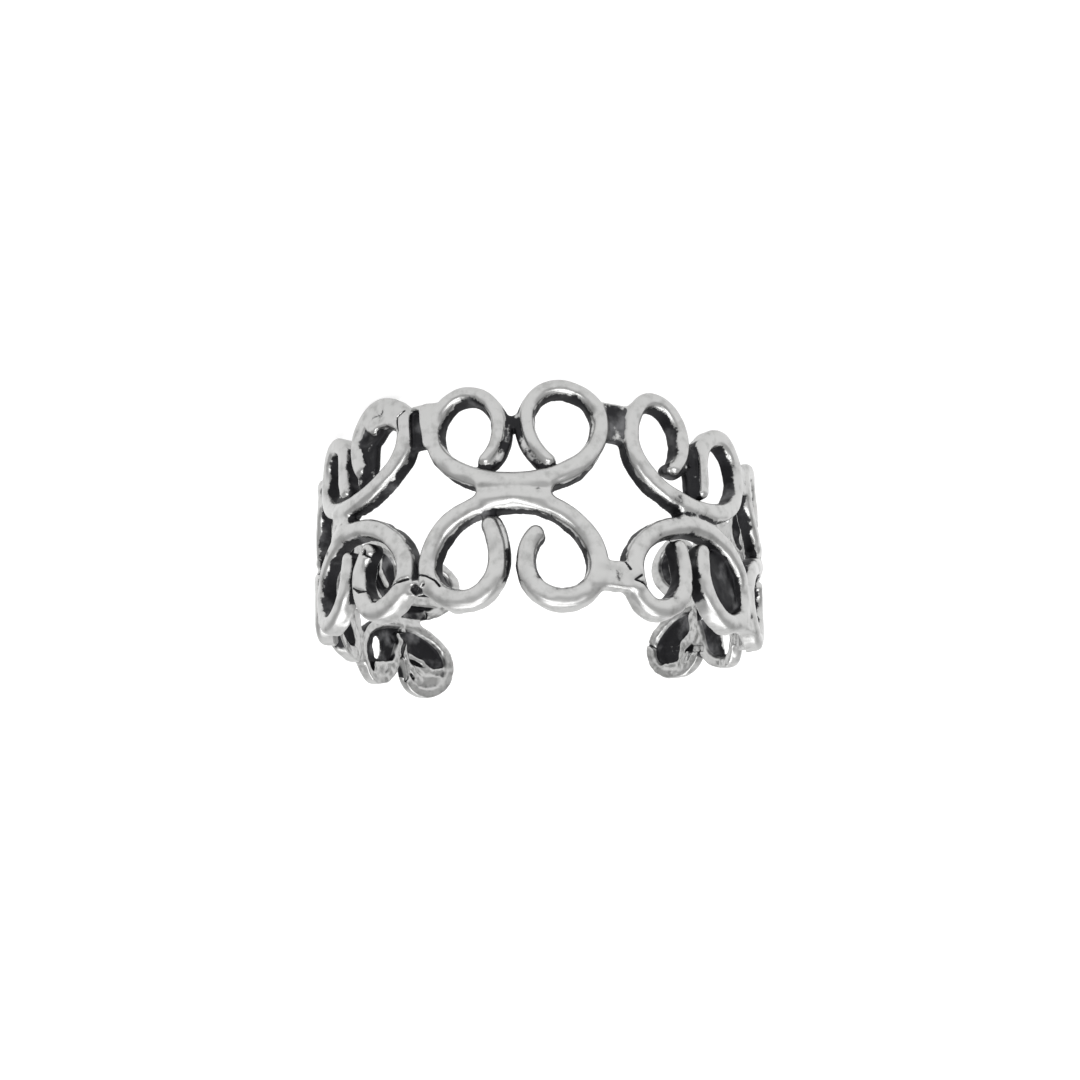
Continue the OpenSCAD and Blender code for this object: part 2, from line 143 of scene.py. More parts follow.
# Channels, creases and pits in the outer face; the depth is in mm
GROOVES = [
    # unit edge hand from_s from_h to_s to_h width depth
    (-1, -1, -1, -0.8, 26.0, -1.0, 11.0, 5.0, 0.19),
    (1, -1, -1, 34.5, 33.2, 35.0, 21.0, 4.4, 0.26),
    (1, -1, -1, 8.0, 13.2, 14.0, 15.6, 4.6, 0.31),
    (1, -1, -1, 30.4, 35.9, 27.2, 33.9, 0.7, 0.14),
    (1, -1, -1, 27.2, 33.9, 27.7, 28.3, 0.7, 0.14),
    (1, 1, -1, 5.6, 28.1, 8.8, 30.0, 0.7, 0.14),
    (1, 1, -1, 8.8, 30.0, 12.4, 30.2, 0.7, 0.14),
    (1, 1, -1, 12.4, 30.5, 16.5, 35.0, 0.7, 0.14),
    (1, 1, -1, 16.5, 35.0, 18.8, 35.4, 0.7, 0.14),
    (1, 1, -1, 18.7, 33.1, 23.2, 32.5, 0.7, 0.14),
    (1, 1, -1, 23.2, 32.5, 28.3, 29.9, 0.7, 0.14),
    (1, 1, -1, 28.3, 29.9, 33.2, 29.1, 0.7, 0.14),
    (1, 1, -1, 11.0, 15.6, 11.8, 15.6, 1.8, 0.20),
    (1, 1, -1, 12.0, 16.8, 14.4, 18.2, 0.7, 0.14),
    (0, 1, 1, 34.5, 28.4, 31.2, 29.2, 0.7, 0.14),
    (0, 1, 1, 31.2, 29.2, 27.9, 31.0, 0.7, 0.14),
    (0, 1, 1, 27.9, 31.0, 26.2, 33.1, 0.7, 0.14),
    (0, 1, 1, 37.0, 32.6, 34.4, 34.8, 3.0, 0.30),
    (0, 1, 1, 34.5, 33.6, 32.2, 31.8, 1.6, 0.22),
    (-1, 1, 1, 34.2, 23.4, 32.6, 25.8, 0.7, 0.14),
    (-1, 1, 1, 31.1, 29.2, 28.5, 27.3, 0.7, 0.14),
    (-1, 1, 1, 31.1, 29.2, 27.6, 30.1, 0.7, 0.14),
    (-1, 1, 1, 27.6, 30.1, 22.9, 32.2, 0.7, 0.14),
    (-1, 1, 1, 34.6, 33.8, 32.4, 35.6, 1.4, 0.16),
    (-1, 1, 1, 32.2, 37.0, 30.6, 39.4, 0.7, 0.14),
    (-1, 1, 1, 6.3, 26.7, 2.6, 31.5, 0.7, 0.14),
]
# The toe side of the end units: ridges to a depth in mm, and hollows down to one
TOE_RIDGES = [
    # unit edge hand from_s from_h to_s to_h width back
    (3, 1, 1, 3.4, 19.3, 14.5, 22.8, 2.6, 0.50),
    (3, 1, 1, 14.5, 22.8, 22.0, 27.0, 2.2, 0.47),
    (3, 1, 1, 22.0, 27.0, 30.2, 25.4, 2.2, 0.48),
    (3, 1, 1, 12.0, 28.4, 27.0, 30.0, 6.0, 0.44),
    (3, 1, 1, 2.3, 21.2, 6.9, 27.5, 2.6, 0.54),
    (3, 1, 1, 6.9, 27.5, 12.0, 33.5, 3.6, 0.57),
    (3, 1, 1, 13.0, 34.6, 25.0, 34.0, 8.4, 0.52),
    (3, 1, 1, 9.0, 26.0, 14.0, 30.0, 3.0, 0.46),
    (3, 1, -1, 4.4, 10.2, 2.2, 13.4, 2.8, 0.60),
    (3, 1, -1, 2.2, 13.4, 3.2, 18.2, 2.6, 0.60),
    (3, 1, -1, 20.0, 33.4, 9.0, 30.0, 7.0, 0.60),
    (3, 1, -1, 9.0, 30.0, 3.6, 22.5, 4.4, 0.60),
    (3, 1, -1, 21.0, 30.0, 10.0, 28.0, 4.6, 0.58),
    (3, -1, 1, 3.0, 11.6, 25.0, 14.2, 6.0, 0.60),
    (-3, 1, 1, -1.5, 9.0, -2.4, 20.0, 7.0, 0.56),
    (-3, 1, -1, 2.4, 19.5, 9.5, 23.0, 6.6, 0.56),
    (-3, 1, -1, 10.4, 23.6, 12.4, 29.0, 4.0, 0.58),
    (-3, 1, -1, 12.4, 29.0, 14.0, 34.0, 3.6, 0.54),
    (-3, 1, -1, 7.6, 28.6, 11.0, 33.0, 2.2, 0.62),
    (-3, 1, -1, 13.0, 36.0, 24.0, 36.0, 8.0, 0.53),
    (3, -1, -1, 19.5, 32.0, 18.6, 22.0, 2.2, 0.55),
    (3, -1, -1, 18.6, 22.0, 14.0, 17.0, 4.4, 0.55),
]
TOE_HOLLOWS = [
    # unit edge hand from_s from_h to_s to_h width depth
    (3, 1, 1, -0.5, 24.0, 1.6, 32.0, 5.0, 0.44),
    (3, -1, 1, 0.0, 4.0, 14.0, 5.4, 5.0, 0.42),
    (-3, 1, -1, 4.6, 26.6, -3.0, 27.8, 3.2, 0.47),
    (-3, 1, -1, 35.6, 18.8, 26.3, 25.5, 0.9, 0.47),
    (-3, 1, -1, 28.5, 28.6, 22.5, 32.4, 0.9, 0.47),
]
DISH_DEPTH = 0.26 * MM
DISH_START = 0.4  # how far outside the wire's line the dish starts
DISH_SLOPE = 3.6  # how far in from there it reaches its depth
DISH_LIFT = 0.6  # how far past the toe side its surface starts
# Slits through the plates of the end units
SLITS = [
    # unit edge hand middle_s middle_h half_width half_height
    (3, 1, -1, 16.6, 19.0, 3.7, 6.4),
]
# Dark webs beside the tips: how far they reach towards the unit's middle, from the wire's line
SKIRTS = [
    # unit edge hand reach
    (0, -1, -1, 2.2),
    (0, -1, 1, 2.4),
    (-1, -1, 1, 2.0),
    (0, 1, 1, 1.2),
]
SKIRT_STEPS = 22  # steps of the wire's line that have a skirt, up to the tip
# Pairs of loops, by unit and edge, whose inner sides are joined
TIED_PAIRS = [(0, -1), (-1, -1), (2, 1), (-2, 1), (3, 1), (-3, 1), (3, -1), (-3, -1)]


def scroll_at(unit, edge, hand):
    return next(r for r in SCROLLS if (r["unit"], r["edge"], r["hand"]) == (unit, edge, hand))


# Steps of the wire's line, and where it narrows to a share of its width before its tip
SWING_STEPS, LOOP_STEPS, CURL_STEPS = 28, 20, 14
TAPER_STEPS, TIP_WIDTH = 24, 0.84


def quarter(centre, across, up, start, end, steps):
    """Part of an ellipse, from the start angle up to the last step before the end angle."""
    g = np.radians(start + (end - start) * np.arange(steps) / steps)
    return np.stack([centre[0] + across * np.cos(g), centre[1] + up * np.sin(g)], 1)


def centre_line(row):
    """One scroll laid flat, from the saddle's middle to the tip, with its half widths."""
    r = row
    curl = math.radians(r["curl"])
    crown_s, crown_h, inner_s, inner_h = r["crown_s"], r["crown_h"], r["inner_s"], r["inner_h"]
    across = (r["tip_s"] - inner_s) / (1 - math.cos(curl))
    down = (inner_h - r["tip_h"]) / math.sin(curl)
    swing = quarter((0, r["side"]), r["reach"], r["side"] - r["start"], -90, 0, SWING_STEPS)
    line = np.concatenate([
        swing,
        quarter((crown_s, r["side"]), r["reach"] - crown_s, crown_h - r["side"], 0, 90, LOOP_STEPS),
        quarter((crown_s, inner_h), crown_s - inner_s, crown_h - inner_h, 90, 180, LOOP_STEPS),
        quarter((inner_s + across, inner_h), across, down, 180, 180 + r["curl"], CURL_STEPS),
        [[r["tip_s"], r["tip_h"]]],
    ])
    loop = np.clip((np.arange(len(line)) - len(swing) / 2) / (len(swing) / 2), 0, 1)
    taper = np.interp(np.arange(len(line)), [len(line) - TAPER_STEPS, len(line) - 1], [1, TIP_WIDTH])
    half = WIRE_WIDTH / 2 * (1 + (r["wire"] - 1) * loop) * taper
    return line, half


def swing_height(row, s):
    """Height of the wire under the scroll."""
    share = min(s / row["reach"], 1)
    return row["start"] + (row["side"] - row["start"]) * (1 - math.sqrt(1 - share**2))


def outer_s(row, h):
    """How far out the scroll's wire is at the height h."""
    if h > row["side"]:
        share = min((h - row["side"]) / (row["crown_h"] - row["side"]), 1)
        return row["crown_s"] + (row["reach"] - row["crown_s"]) * math.sqrt(1 - share**2)
    share = min((row["side"] - h) / (row["side"] - row["start"]), 1)
    return row["reach"] * math.sqrt(1 - share**2)


# ---- The band as a distance field in flat space ------------------------------------------------
# q runs round the ring, h up and t in from the outer face.
GRID = 0.55
HALF_LENGTH, HALF_HEIGHT, MARGIN = 262, 47, 2.4
Q = np.arange(-HALF_LENGTH, HALF_LENGTH + GRID, GRID)
H = np.arange(-HALF_HEIGHT, HALF_HEIGHT + GRID, GRID)
T = np.arange(-MARGIN, WIRE_THICK + MARGIN, GRID)
FAR = 6.0  # the distance at a grid place that no shape comes near


def to_line(points, line, half):
    """Distance of flat points from a polyline, and the half width of the wire there."""
    a, b = line[:-1], line[1:]
    d = b - a
    length = (d**2).sum(1)
    rel = points[:, None, :] - a[None]
    u = np.clip((rel * d).sum(2) / length, 0, 1)
    gap = np.linalg.norm(rel - u[..., None] * d, axis=2)
    best = gap.argmin(1)
    rows = np.arange(len(points))
    u = u[rows, best]
    return gap[rows, best], half[best] * (1 - u) + half[best + 1] * u


def gap_to(points, line):
    """Distance of flat points from a polyline."""
    return to_line(points, line, np.zeros(len(line)))[0]


def smooth_min(a, b, k):
    """The smaller of a and b, eased where they differ by less than k."""
    f = np.maximum(k - np.abs(a - b), 0) / k
    return np.minimum(a, b) - f * f * k / 4


def rounded_corner(a, b, r):
    """Distance to the corner where a < 0 and b < 0 meet, rounded by r."""
    a, b = a + r, b + r
    return np.minimum(np.maximum(a, b), 0) + np.hypot(np.maximum(a, 0), np.maximum(b, 0)) - r


def slab(side, front, back, front_round, back_round):
    """A shape whose plan has the distance side, between the depths front and back."""
    t = T[None, None, :]
    outer = rounded_corner(side, front - t, front_round)
    inner = rounded_corner(side, t - back, back_round)
    return np.maximum(outer, inner)


CORNERS = [(i, j, k) for i in (0, 1) for j in (0, 1) for k in (0, 1)]


def corner_share(place, corner):
    """Weight of a cell's corner for a place in the cell, given as shares along its three sides."""
    u, v, w = (x if end else 1 - x for x, end in zip(place, corner))
    return u * v * w


class Lattice:
    """Smooth noise on a lattice of the given pitch, the same each run."""

    SIZE = 64
    SHIFT = 1000  # cells, so that every place is above zero

    def __init__(self, seed, pitch):
        self.pitch = pitch
        self.values = np.random.default_rng(seed).uniform(-1, 1, (self.SIZE,) * 3)

    def __call__(self, q, h, t):
        total = 0
        p = [np.asarray(c) / self.pitch + self.SHIFT for c in (q, h, t)]
        base = [np.floor(c).astype(int) for c in p]
        frac = [c - b for c, b in zip(p, base)]
        frac = [f * f * (3 - 2 * f) for f in frac]
        for corner in CORNERS:
            cell = tuple((b + end) % self.SIZE for b, end in zip(base, corner))
            total = total + corner_share(frac, corner) * self.values[cell]
        return total


field = np.full((len(Q), len(H), len(T)), FAR)


def window(points, margin):
    """Columns of the grid round flat points: their place in the field, and their q and h."""
    (lo_q, lo_h), (hi_q, hi_h) = np.min(points, axis=0) - margin, np.max(points, axis=0) + margin
    i0, i1 = np.searchsorted(Q, lo_q), np.searchsorted(Q, hi_q)
    j0, j1 = np.searchsorted(H, lo_h), np.searchsorted(H, hi_h)
    i0, j0 = max(i0 - 1, 0), max(j0 - 1, 0)
    qq, hh = np.meshgrid(Q[i0:i1], H[j0:j1], indexing="ij")
    return (slice(i0, i1), slice(j0, j1)), qq, hh


def add(place, shape, blend):
    field[place] = smooth_min(field[place], shape, blend)


def add_web(lines, radius, front, back, blend):
    """A web whose plan is all that lies within the radius of the given lines of flat points."""
    lines = [np.array(points, float) for points in lines]
    place, qq, hh = window(np.concatenate(lines), radius + FAR)
    flat = np.stack([qq.ravel(), hh.ravel()], 1)
    gap = np.min([gap_to(flat, points) for points in lines], axis=0)
    side = (gap - radius).reshape(qq.shape)[..., None]
    add(place, slab(side, front, back, *WEB_ROUNDS), blend)


def cut(place, shape, blend):
    field[place] = -smooth_min(-field[place], shape, blend)


def carve(points, radius, depth, blend, toe_side=False):
    """A channel along flat points in the outer face, or in the toe side."""
    points = np.array(points, float)
    place, qq, hh = window(points, radius + FAR)
    gap = gap_to(np.stack([qq.ravel(), hh.ravel()], 1), points)
    side = (gap - radius).reshape(qq.shape)[..., None]
    above = depth - T if toe_side else T - depth
    cut(place, rounded_corner(side, above[None, None, :], min(CHANNEL_ROUND, radius)), blend)


def within(points, outline):
    """Distance of flat points from a closed outline, below zero inside it."""
    a, b = outline, np.roll(outline, -1, axis=0)
    gap = gap_to(points, np.concatenate([a, a[:1]]))
    s, h = points[:, :1], points[:, 1:]
    crosses = (a[:, 1] > h) != (b[:, 1] > h)
    rise = np.where(b[:, 1] == a[:, 1], 1, b[:, 1] - a[:, 1])
    left = s < a[:, 0] + (h - a[:, 1]) * (b[:, 0] - a[:, 0]) / rise
    return np.where((crosses & left).sum(1) % 2, -gap, gap)


def at(row, s, h):
    """The flat point at a scroll's own s and h."""
    return row["unit"] * UNIT_PITCH + row["hand"] * s, row["edge"] * h


# Depths of what spans the wires
BACK = WIRE_THICK - 0.06 * MM
WEB_FRONT = 0.20 * MM
SKIRT_FRONT = 0.22 * MM
RIDGE_FRONT = 0.25 * MM
PLATE_FRONT, PLATE_BACK = 0.12 * MM, 0.37 * MM
WEB_RADIUS = 2.5
WIRE_ROUNDS, WEB_ROUNDS = (1.2, 0.6), (1.0, 0.8)  # of a front and a back edge
CHANNEL_ROUND = 0.4
# Width of the soft joint between each kind of form and what is there already
JOINT = {"wire": 1.3, "saddle": 3.6, "bridge": 1.6, "web": 1.5, "skirt": 1.0, "fill": 1.4,
         "plate": 1.5, "dish": 1.0, "ridge": 1.6, "slit": 0.6}

for unit in range(-3, 4):
    for edge in (-1, 1):
        left, right = (centre_line(scroll_at(unit, edge, hand)) for hand in (-1, 1))
        line = np.concatenate([left[0][:0:-1] * (-1, 1), right[0]])
        half = np.concatenate([left[1][:0:-1], right[1]])
        line = line * (1, edge) + (unit * UNIT_PITCH, 0)
        place, qq, hh = window(line, 10)
        gap, w = to_line(np.stack([qq.ravel(), hh.ravel()], 1), line, half)
        gap, w = gap.reshape(qq.shape)[..., None], w.reshape(qq.shape)[..., None]
        # The wire is a little narrower in front than behind, and domed in front
        t = T[None, None, :]
        draft = (0.10 - 0.14 * np.clip(t / WIRE_THICK, 0, 1)) * w
        dome = 1.1 * np.clip(gap / w, 0, 1.5) ** 2
        add(place, slab(gap - w + draft, dome, WIRE_THICK, *WIRE_ROUNDS), JOINT["wire"])

for unit, start, end, depth in SADDLES:
    above, below = scroll_at(unit, 1, 1), scroll_at(unit, -1, 1)
    middle = (above["start"] - below["start"]) / 2
    radius = (above["start"] + below["start"] + 1.1) / 2
    q = unit * UNIT_PITCH
    line = [(q + start + radius, middle), (q + end - radius, middle)]
    add_web([line], radius, depth * MM, BACK, JOINT["saddle"])

for unit, edge, middle, height, front, back in BRIDGES:
    near, far = scroll_at(unit, edge, 1), scroll_at(unit + 1, edge, -1)
    levels = middle + np.linspace(-1, 1, 7) * (height / 2 - WEB_RADIUS)
    lines = [[at(near, outer_s(near, h), h), at(far, outer_s(far, h), h)] for h in levels]
    add_web(lines, WEB_RADIUS, front * MM, back * MM, JOINT["bridge"])

for row in SCROLLS:
    if row["web"]:
        tip_s = row["tip_s"]
        line = [at(row, tip_s, row["tip_h"]), at(row, tip_s + 1, swing_height(row, tip_s))]
        add_web([line], WEB_RADIUS, WEB_FRONT, BACK, JOINT["web"])

for unit, edge, hand, reach in SKIRTS:
    row = scroll_at(unit, edge, hand)
    line, half = centre_line(row)
    shares = np.clip(np.linspace(0, 2, SKIRT_STEPS), 0, 1)
    for share in (0.35, 0.7, 1.0):
        edge_line = [at(row, s - share * k * reach, h) for (s, h), k in zip(line[-SKIRT_STEPS:], shares)]
        add_web([edge_line], half[-1] + 0.2, SKIRT_FRONT, BACK, JOINT["skirt"])

for unit, edge in TIED_PAIRS:
    ends = [scroll_at(unit, edge, hand) for hand in (-1, 1)]
    line = [at(r, r["inner_s"], r["inner_h"]) for r in ends]
    add_web([line], WEB_RADIUS, WEB_FRONT, BACK, JOINT["web"])

for unit, edge, hand, from_s, from_h, to_s, to_h, width, front, back in FILLS:
    row = scroll_at(unit, edge, hand)
    line = [at(row, from_s, from_h), at(row, to_s, to_h)]
    add_web([line], width / 2, front * MM, back * MM, JOINT["fill"])

for unit, edge, hand, from_s, from_h, to_s, to_h, width, deep in GROOVES:
    row = scroll_at(unit, edge, hand)
    line = [at(row, from_s, from_h), at(row, to_s, to_h)]
    carve(line, width / 2, deep * MM, 0.3 + width / 8)

for row in SCROLLS:
    if row["plate"]:
        low = swing_height(row, row["crown_s"])
        centre = ((row["reach"] + row["inner_s"]) / 2, (row["crown_h"] + low) / 2)
        place, qq, hh = window([at(row, -4, 2), at(row, 40, 42)], 0)
        s = (qq - row["unit"] * UNIT_PITCH) * row["hand"] - centre[0]
        h = hh * row["edge"] - centre[1]
        across = (row["reach"] - row["inner_s"]) / 2 - 1
        tall = (row["crown_h"] - low) / 2 - 1
        far = row["inner_s"] + (row["reach"] - row["inner_s"]) * row["plate"] - centre[0]
        side = np.maximum((np.hypot(s / across, h / tall) - 1) * min(across, tall), s - far)
        bowl = 0.8 * (1 - np.clip(np.hypot(s / across, h / tall), 0, 1) ** 2)[..., None]
        plate = slab(side[..., None], PLATE_FRONT - bowl, PLATE_BACK - bowl, *WEB_ROUNDS)
        add(place, plate, JOINT["plate"])

# The end units are dished on the toe side, with a rim of bare metal
for row in SCROLLS:
    if abs(row["unit"]) == 3:
        outline = centre_line(row)[0][:-CURL_STEPS - 1]
        place, qq, hh = window([at(row, -6, -2), at(row, 44, 46)], 0)
        s, h = (qq - row["unit"] * UNIT_PITCH) * row["hand"], hh * row["edge"]
        flat = np.stack([s, h], -1).reshape(-1, 2)
        side = within(flat, outline).reshape(qq.shape)[..., None]
        share = np.clip((DISH_START - side) / DISH_SLOPE, 0, 1)
        floor = WIRE_THICK + DISH_LIFT - (DISH_LIFT + DISH_DEPTH) * share * share * (3 - 2 * share)
        cut(place, (floor - T) * 0.8, JOINT["dish"])

for unit, edge, hand, from_s, from_h, to_s, to_h, width, back in TOE_RIDGES:
    row = scroll_at(unit, edge, hand)
    line = [at(row, from_s, from_h), at(row, to_s, to_h)]
    add_web([line], width / 2, RIDGE_FRONT, back * MM, JOINT["ridge"])

for unit, edge, hand, from_s, from_h, to_s, to_h, width, deep in TOE_HOLLOWS:
    row = scroll_at(unit, edge, hand)
    line = [at(row, from_s, from_h), at(row, to_s, to_h)]
    carve(line, width / 2, deep * MM, 0.5 + width / 3, toe_side=True)

for unit, edge, hand, middle_s, middle_h, across, tall in SLITS:
    middle = at(scroll_at(unit, edge, hand), middle_s, middle_h)
    place, qq, hh = window([middle], 15)
    side = (np.hypot((qq - middle[0]) / across, (hh - middle[1]) / tall) - 1) * across
    cut(place, side[..., None] + 0 * T, JOINT["slit"])

# Hand-finished metal: a slow waviness, and pits and runs in the low places
SKIN = 4  # how far from the surface the noise is worked out
LOW_START, LOW_FADE = 0.8, 2.5
WAVES = [
    # seed pitch strength
    (3, 8.0, 0.30),
    (4, 3.0, 0.10),
]
PITS = [
    # seed pitch strength
    (5, 3.6, 0.22),
    (7, 1.8, 0.15),
]


def rough(layers, places):
    return sum(strength * Lattice(seed, pitch)(*places) for seed, pitch, strength in layers)


near = np.abs(field) < SKIN
skin = [grid[near] for grid in np.meshgrid(Q, H, T, indexing="ij")]
low = np.clip((skin[2] - LOW_START) / LOW_FADE, 0, 1)
field[near] += rough(WAVES, skin) + low * rough(PITS, skin)


# ---- Surface of the field: one vertex in each cell that the surface crosses --------------------
def both_ends(axis):
    """Slices that pair each grid place with the next one along the axis."""
    lo, hi = [slice(None)] * 3, [slice(None)] * 3
    lo[axis], hi[axis] = slice(0, -1), slice(1, None)
    return tuple(lo), tuple(hi)


def surface_net(f):
    """Vertices (in grid steps) and quads of the surface f = 0."""
    inside = f < 0
    n = np.array(f.shape) - 1
    total = np.zeros(tuple(n) + (3,))
    count = np.zeros(tuple(n))
    for axis in range(3):
        lo, hi = both_ends(axis)
        a, b = f[lo], f[hi]
        cross = inside[lo] != inside[hi]
        share = np.where(cross, a / np.where(cross, a - b, 1), 0)
        u, v = [k for k in range(3) if k != axis]
        for du in (0, 1):
            for dv in (0, 1):
                part = [slice(None)] * 3
                part[u] = slice(du, du + n[u])
                part[v] = slice(dv, dv + n[v])
                c = cross[tuple(part)]
                count += c
                total[..., axis] += np.where(c, share[tuple(part)], 0)
                total[..., u] += c * du
                total[..., v] += c * dv
    used = count > 0
    index = np.full(tuple(n), -1)
    index[used] = np.arange(used.sum())
    verts = np.argwhere(used) + total[used] / count[used][:, None]
    quads = []
    for axis in range(3):
        lo, hi = both_ends(axis)
        u, v = [k for k in range(3) if k != axis]
        a, b = inside[lo], inside[hi]
        where = np.argwhere(a != b)
        low_u, low_v = where[:, u], where[:, v]
        where = where[(low_u > 0) & (low_v > 0) & (low_u < n[u]) & (low_v < n[v])]
        step_u, step_v = np.eye(3, dtype=int)[u], np.eye(3, dtype=int)[v]
        corners = [where - step_u - step_v, where - step_v, where, where - step_u]
        quad = np.stack([index[tuple(c.T)] for c in corners], 1)
        turn = a[tuple(where.T)] == (axis != 1)
        quad[turn] = quad[turn][:, ::-1]
        quads.append(quad)
    return verts, np.concatenate(quads)


def sample(f, p):
    """Value of the grid f at places p, in grid steps."""
    base = np.clip(np.floor(p).astype(int), 0, np.array(f.shape) - 2)
    w = p - base
    return sum(corner_share(w.T, corner) * f[tuple((base + corner).T)] for corner in CORNERS)


def blurred(f, sigma):
    """The grid f smoothed over sigma grid steps."""
    reach = int(3 * sigma)
    kernel = np.exp(-0.5 * (np.arange(-reach, reach + 1) / sigma) ** 2)
    kernel /= kernel.sum()
    for axis in range(3):
        pad = [(0, 0)] * 3
        pad[axis] = (reach, reach)
        g = np.pad(f, pad)
        f = sum(w * np.take(g, np.arange(i, i + f.shape[axis]), axis=axis) for i, w in enumerate(kernel))
    return f


verts, quads = surface_net(field)
slopes = np.gradient(field)
for _ in range(2):  # each step brings the vertices closer to the surface
    grad = np.stack([sample(s, verts) for s in slopes], 1)
    verts -= np.clip(sample(field, verts) / np.maximum((grad**2).sum(1), 0.05), -0.5, 0.5)[:, None] * grad
CAVITY_BLUR = 0.20 * MM
solid = np.clip(0.5 - field / (2 * GRID), 0, 1)
cavity = sample(blurred(solid, CAVITY_BLUR / GRID), verts)
grad = np.stack([sample(s, verts) for s in slopes], 1)
q, h, depth = (axis[0] + column * GRID for axis, column in zip((Q, H, T), verts.T))

# Channels up to a width are creases, which hold oxide to a distance from their line
CREASE_WIDTH, CREASE_REACH = 1.0, 0.7
flat = np.stack([q, h], 1)
crease = np.zeros(len(verts))
for rows, on_toe_side in ((GROOVES, False), (TOE_HOLLOWS, True)):
    for unit, edge, hand, from_s, from_h, to_s, to_h, width, _ in rows:
        if width > CREASE_WIDTH:
            continue
        row = scroll_at(unit, edge, hand)
        line = np.array([at(row, from_s, from_h), at(row, to_s, to_h)])
        reach = width / 2 + 1.2
        close = np.all((flat > line.min(0) - reach) & (flat < line.max(0) + reach), axis=1)
        close &= (depth > WIRE_THICK / 2) == on_toe_side
        gap = gap_to(flat[close], line)
        crease[close] = np.maximum(crease[close], np.clip(1 - gap / CREASE_REACH, 0, 1))

steepness = np.maximum(np.linalg.norm(grad, axis=1), 1e-6)
toe_side = np.clip(grad[:, 2] / steepness, 0, 1)
# The rim is what faces outwards at the band's two ends and at its top and bottom edges
RIM_Q, RIM_H, RIM_FADE = 3 * UNIT_PITCH + 20, 29, 6
rim = np.zeros(len(verts))
for place, slope, start in ((q, grad[:, 0], RIM_Q), (h, grad[:, 1], RIM_H)):
    facing = np.clip(slope * np.sign(place) / steepness / 0.5, 0, 1)
    rim = np.maximum(rim, np.clip((np.abs(place) - start) / RIM_FADE, 0, 1) * facing)

# ---- Bend the flat band round the ring ---------------------------------------------------------
LEAN_HEIGHT = 37  # where a scroll leans out by its full amount
middles = {edge: [] for edge in (-1, 1)}
for row in sorted(SCROLLS, key=lambda r: (r["unit"], r["hand"])):
    middles[row["edge"]].append((at(row, row["crown_s"], 0)[0], row["lean"]))
lean_above, lean_below = (np.interp(q, *np.array(middles[edge]).T) for edge in (1, -1))
lean = np.where(h > 0, lean_above, lean_below) * (np.abs(h) / LEAN_HEIGHT) ** 2
angle = q / 100
rise = h * (1 - END_NARROWING * (angle / UNIT_ANGLE / UNIT_SPAN) ** 2)
radius = 100 - MANDREL_TAPER * rise + lean - depth
points = np.stack([
    radius * np.sin(angle) * PERCENT,
    -radius * np.cos(angle) * PERCENT,
    (rise - BAND_WARP * np.sin(2 * angle)) * PERCENT + MID_HEIGHT,
], 1)
round_part, out_part = grad[:, 0] * 100 / radius, -grad[:, 2]
normals = np.stack([
    round_part * np.cos(angle) + out_part * np.sin(angle),
    round_part * np.sin(angle) - out_part * np.cos(angle),
    grad[:, 1] + MANDREL_TAPER * out_part,
], 1)
normals /= np.linalg.norm(normals, axis=1, keepdims=True)


# What the material reads at each vertex; the depth is in mm
SHADING = {"depth": depth / MM, "cavity": cavity, "toe_side": toe_side, "rim": rim, "crease": crease}


def band_piece(name, chosen):
    """One stretch of the band as its own mesh, shaded by the normals of the whole."""
    used, corner = np.unique(quads[chosen], return_inverse=True)
    mesh = bpy.data.meshes.new(name)
    mesh.vertices.add(len(used))
    mesh.vertices.foreach_set("co", points[used].astype(np.float32).ravel())
    mesh.loops.add(corner.size)
    mesh.loops.foreach_set("vertex_index", corner.astype(np.int32).ravel())
    mesh.polygons.add(corner.size // 4)
    mesh.polygons.foreach_set("loop_start", np.arange(0, corner.size, 4, dtype=np.int32))
    mesh.polygons.foreach_set("use_smooth", np.ones(corner.size // 4, dtype=bool))
    mesh.update(calc_edges=True)
    mesh.normals_split_custom_set_from_vertices(normals[used].tolist())
    for label, values in SHADING.items():
        layer = mesh.attributes.new(label, "FLOAT", "POINT")
        layer.data.foreach_set("value", values[used].astype(np.float32))
    piece = bpy.data.objects.new(name, mesh)
    bpy.context.scene.collection.objects.link(piece)
    print(name, corner.size // 2, "triangles")
    return piece


# The cuts go through bridges. The first and the last piece hold two units, the others one.
cuts = np.array([-1.5, -0.5, 0.5, 1.5]) * UNIT_PITCH
stretch_of = np.searchsorted(cuts, q[quads].mean(1))
band = [band_piece(f"silver_band_{k + 1}", stretch_of == k) for k in range(len(cuts) + 1)]


# ---- Materials ---------------------------------------------------------------------------------
def node_tree(name):
    mat = bpy.data.materials.new(name)
    mat.use_nodes = True
    tree = mat.node_tree
    tree.nodes.clear()
    return mat, tree


def add_node(tree, kind, **values):
    n = tree.nodes.new(kind)
    for key, value in values.items():
        if key.startswith("in_"):
            slot = key[3:]
            n.inputs[int(slot) if slot.isdigit() else slot.replace("_", " ")].default_value = value
        else:
            setattr(n, key, value)
    return n


def ramp(tree, source, low, high, low_value=0.0, high_value=1.0):
    n = add_node(tree, "ShaderNodeMapRange", in_1=low, in_2=high, in_3=low_value, in_4=high_value)
    n.interpolation_type = "SMOOTHSTEP"
    tree.links.new(source, n.inputs[0])
    return n.outputs[0]


def maths(tree, operation, a, b):
    n = add_node(tree, "ShaderNodeMath", operation=operation)
    for i, x in enumerate((a, b)):
        if isinstance(x, (int, float)):
            n.inputs[i].default_value = x
        else:
            tree.links.new(x, n.inputs[i])
    return n.outputs[0]


